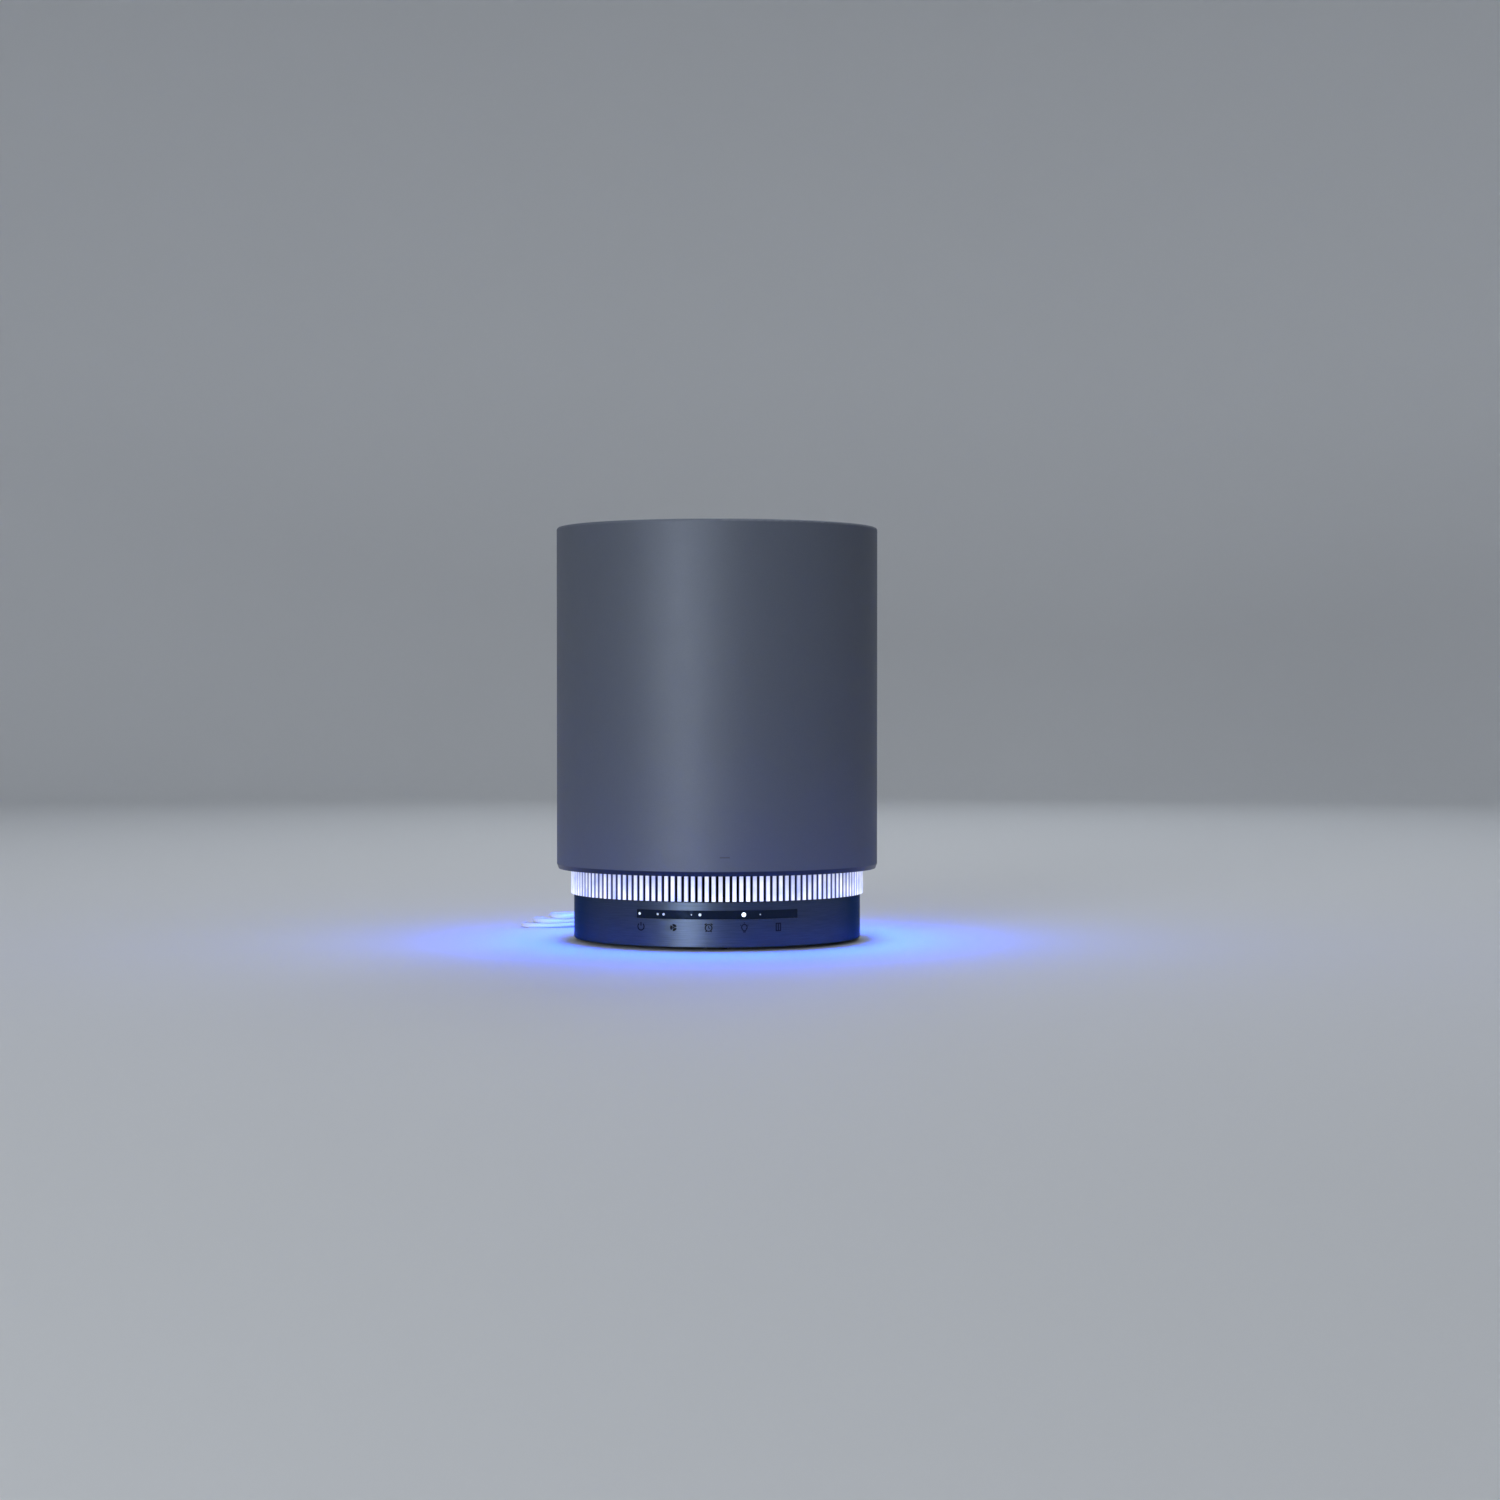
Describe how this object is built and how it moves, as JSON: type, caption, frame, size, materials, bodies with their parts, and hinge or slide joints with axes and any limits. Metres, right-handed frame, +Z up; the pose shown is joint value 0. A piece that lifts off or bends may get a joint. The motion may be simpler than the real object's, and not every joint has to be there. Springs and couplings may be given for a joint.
{
  "type": "air purifier",
  "caption": "Round table-top air purifier: touch controls, a lit ring of air outlet fins, a fan, a pleated filter cartridge and a lift-off cover with a vaned top grille.",
  "frame": {"origin": "on the table, under the axis of the round cover", "axes": "+Z up along the cover's axis, -Y towards the touch controls, +Y towards the power inlet"},
  "size_m": [0.276, 0.358, 0.308],
  "materials": {
    "cover_plastic": "satin, fine grain",
    "grille_plastic": "satin",
    "grille_cap_paint": "satin lacquer",
    "base_paint": "satin metallic",
    "smoked_window": "polished, smoked",
    "indicator_clear": "clear light pipe",
    "light_guide": "translucent, lit",
    "foot_rubber": "matte",
    "black_plastic": "moulded",
    "circuit_board": "solder mask",
    "board_parts": "moulded",
    "led_package": "moulded",
    "copper": "enamelled or bare",
    "zinc_steel": "zinc plated",
    "stator_steel": "laminated",
    "rotor_steel": "drawn",
    "magnet": "sintered",
    "impeller_plastic": "moulded",
    "filter_plastic": "moulded",
    "core_plastic": "moulded",
    "pull_plastic": "moulded",
    "pleated_paper": "folded fibre sheet",
    "prefilter_net": "woven net",
    "white_pvc": "soft, satin",
    "tie_plastic": "soft",
    "adapter_plastic": "fine spark texture",
    "nickel": "nickel plated"
  },
  "bodies": {
    "base": {"rubber_feet": "foot_rubber", "base_plate": "black_plastic", "base_plate_screws": "zinc_steel", "base_shell": "base_paint", "display_window": "smoked_window", "indicator_lenses": "indicator_clear", "touch_board": "circuit_board", "touch_pads": "copper", "control_board": "circuit_board", "control_board_screws": "zinc_steel", "control_board_parts": "board_parts", "dc_jack": "black_plastic", "led_board": "circuit_board", "ring_leds": "led_package", "light_ring": "light_guide", "hoop_screws": "zinc_steel", "air_deflector": "black_plastic", "fan_deck": "black_plastic", "fan_housing": "black_plastic", "deck_screws": "zinc_steel", "inlet_plate": "black_plastic", "inlet_plate_screws": "zinc_steel", "motor_mount": "black_plastic", "motor_screws": "zinc_steel", "motor_bearings": "zinc_steel", "stator_core": "stator_steel", "stator_coils": "copper", "power_lead": "white_pvc", "power_tail": "white_pvc", "cable_hank": "white_pvc", "cable_tie": "tie_plastic", "dc_plug": "white_pvc", "dc_plug_barrel": "nickel", "plug_relief": "white_pvc", "adapter_relief": "white_pvc", "adapter_case": "adapter_plastic", "adapter_front": "adapter_plastic", "adapter_prongs": "nickel"},
    "fan_rotor": {"impeller": "impeller_plastic", "impeller_nut": "zinc_steel", "motor_shaft": "zinc_steel", "shaft_clip": "zinc_steel", "rotor_cup": "rotor_steel", "rotor_magnets": "magnet"},
    "filter": {"filter_gasket": "foot_rubber", "filter_bottom_cap": "filter_plastic", "filter_core": "core_plastic", "pleated_media": "pleated_paper", "prefilter_sleeve": "prefilter_net", "filter_top_cap": "filter_plastic", "handle_pins": "zinc_steel"},
    "pull_handle": {"pull_handle": "pull_plastic"},
    "cover": {"cover_shell": "cover_plastic", "cover_seal": "foot_rubber", "top_grille": "grille_plastic", "grille_cap": "grille_cap_paint", "grille_screws": "zinc_steel"}
  },
  "joints": [
    {"name": "fan_spin", "type": "hinge", "parent": "base", "child": "fan_rotor", "pos_m": [0, 0, 0.085], "axis": [0, 0, 1], "continuous": true},
    {"name": "filter_lift", "type": "slide", "parent": "base", "child": "filter", "axis": [0, 0, 1], "range_m": [0, 0.2]},
    {"name": "handle_swing", "type": "hinge", "parent": "filter", "child": "pull_handle", "pos_m": [0, -0.01, 0.2708], "axis": [1, 0, 0], "range_deg": [0, 90]},
    {"name": "cover_lift", "type": "slide", "parent": "filter", "child": "cover", "axis": [0, 0, 1], "range_m": [0, 0.25]}
  ]
}
